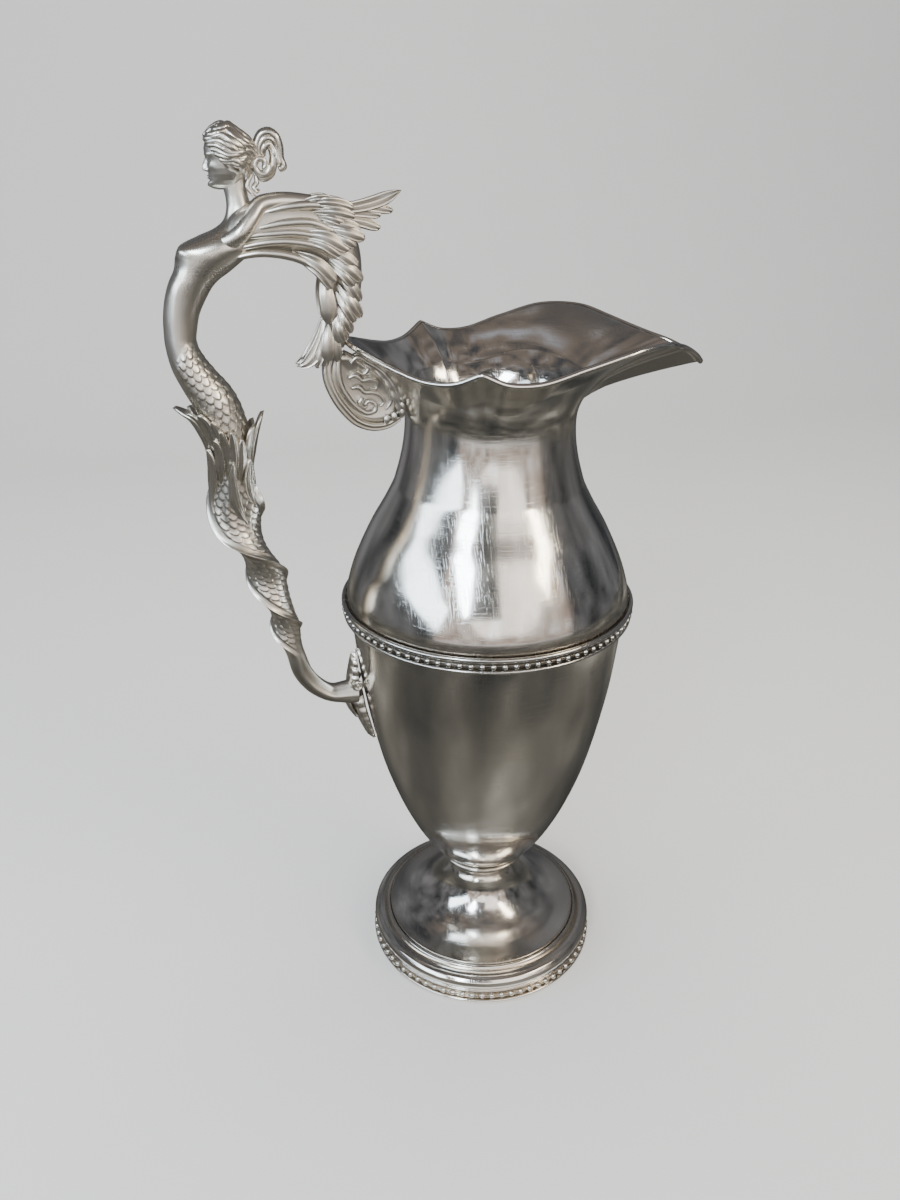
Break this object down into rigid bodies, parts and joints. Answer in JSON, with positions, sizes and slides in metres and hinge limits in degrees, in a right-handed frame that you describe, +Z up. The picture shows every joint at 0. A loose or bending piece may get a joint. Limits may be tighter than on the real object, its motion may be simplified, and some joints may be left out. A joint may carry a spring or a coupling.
{
  "type": "silver water pitcher",
  "caption": "Footed silver water pitcher with a turned ovoid body, beaded girdle, lobed mouth with a beak, and a cast handle in the form of a winged half figure with a hooked tail.",
  "frame": {"origin": "middle of the bounding box at the height of the surface the pitcher stands on; the body's own axis stands 16.15 mm towards +X from it, because the handle reaches farther than the beak", "axes": "+Z up, +X towards the beak, -X towards the handle, the XZ plane is the middle plane of body, handle and beak"},
  "size_m": [0.2168, 0.1304, 0.3793],
  "materials": {
    "polished_silver": "polished silver plate with fine hairline scratches and a light tarnish in the seams",
    "cast_silver": "cast and chased silver, toned darker in the recesses"
  },
  "bodies": {
    "root": {"foot_base_ring": "polished_silver", "foot_bead_wire": "polished_silver", "foot_rim_moulding": "polished_silver", "pedestal": "polished_silver", "stem_collar": "polished_silver", "lower_bowl": "polished_silver", "girdle_strip": "polished_silver", "girdle_upper_wire": "polished_silver", "girdle_bead_wire": "polished_silver", "girdle_lower_wire": "polished_silver", "upper_body": "polished_silver", "lip_wire": "polished_silver", "figure_head": "cast_silver", "hair_knot": "cast_silver", "figure_bust": "cast_silver", "near_wing": "cast_silver", "far_wing": "cast_silver", "leaf_column": "cast_silver", "leaf_spray": "cast_silver", "upper_bracket": "cast_silver", "bracket_relief": "cast_silver", "scaled_waist": "cast_silver", "leaf_calyx": "cast_silver", "twisted_tail": "cast_silver", "hook_arm": "cast_silver", "mount_upper_leaf": "cast_silver", "mount_lower_leaf": "cast_silver"}
  },
  "joints": []
}
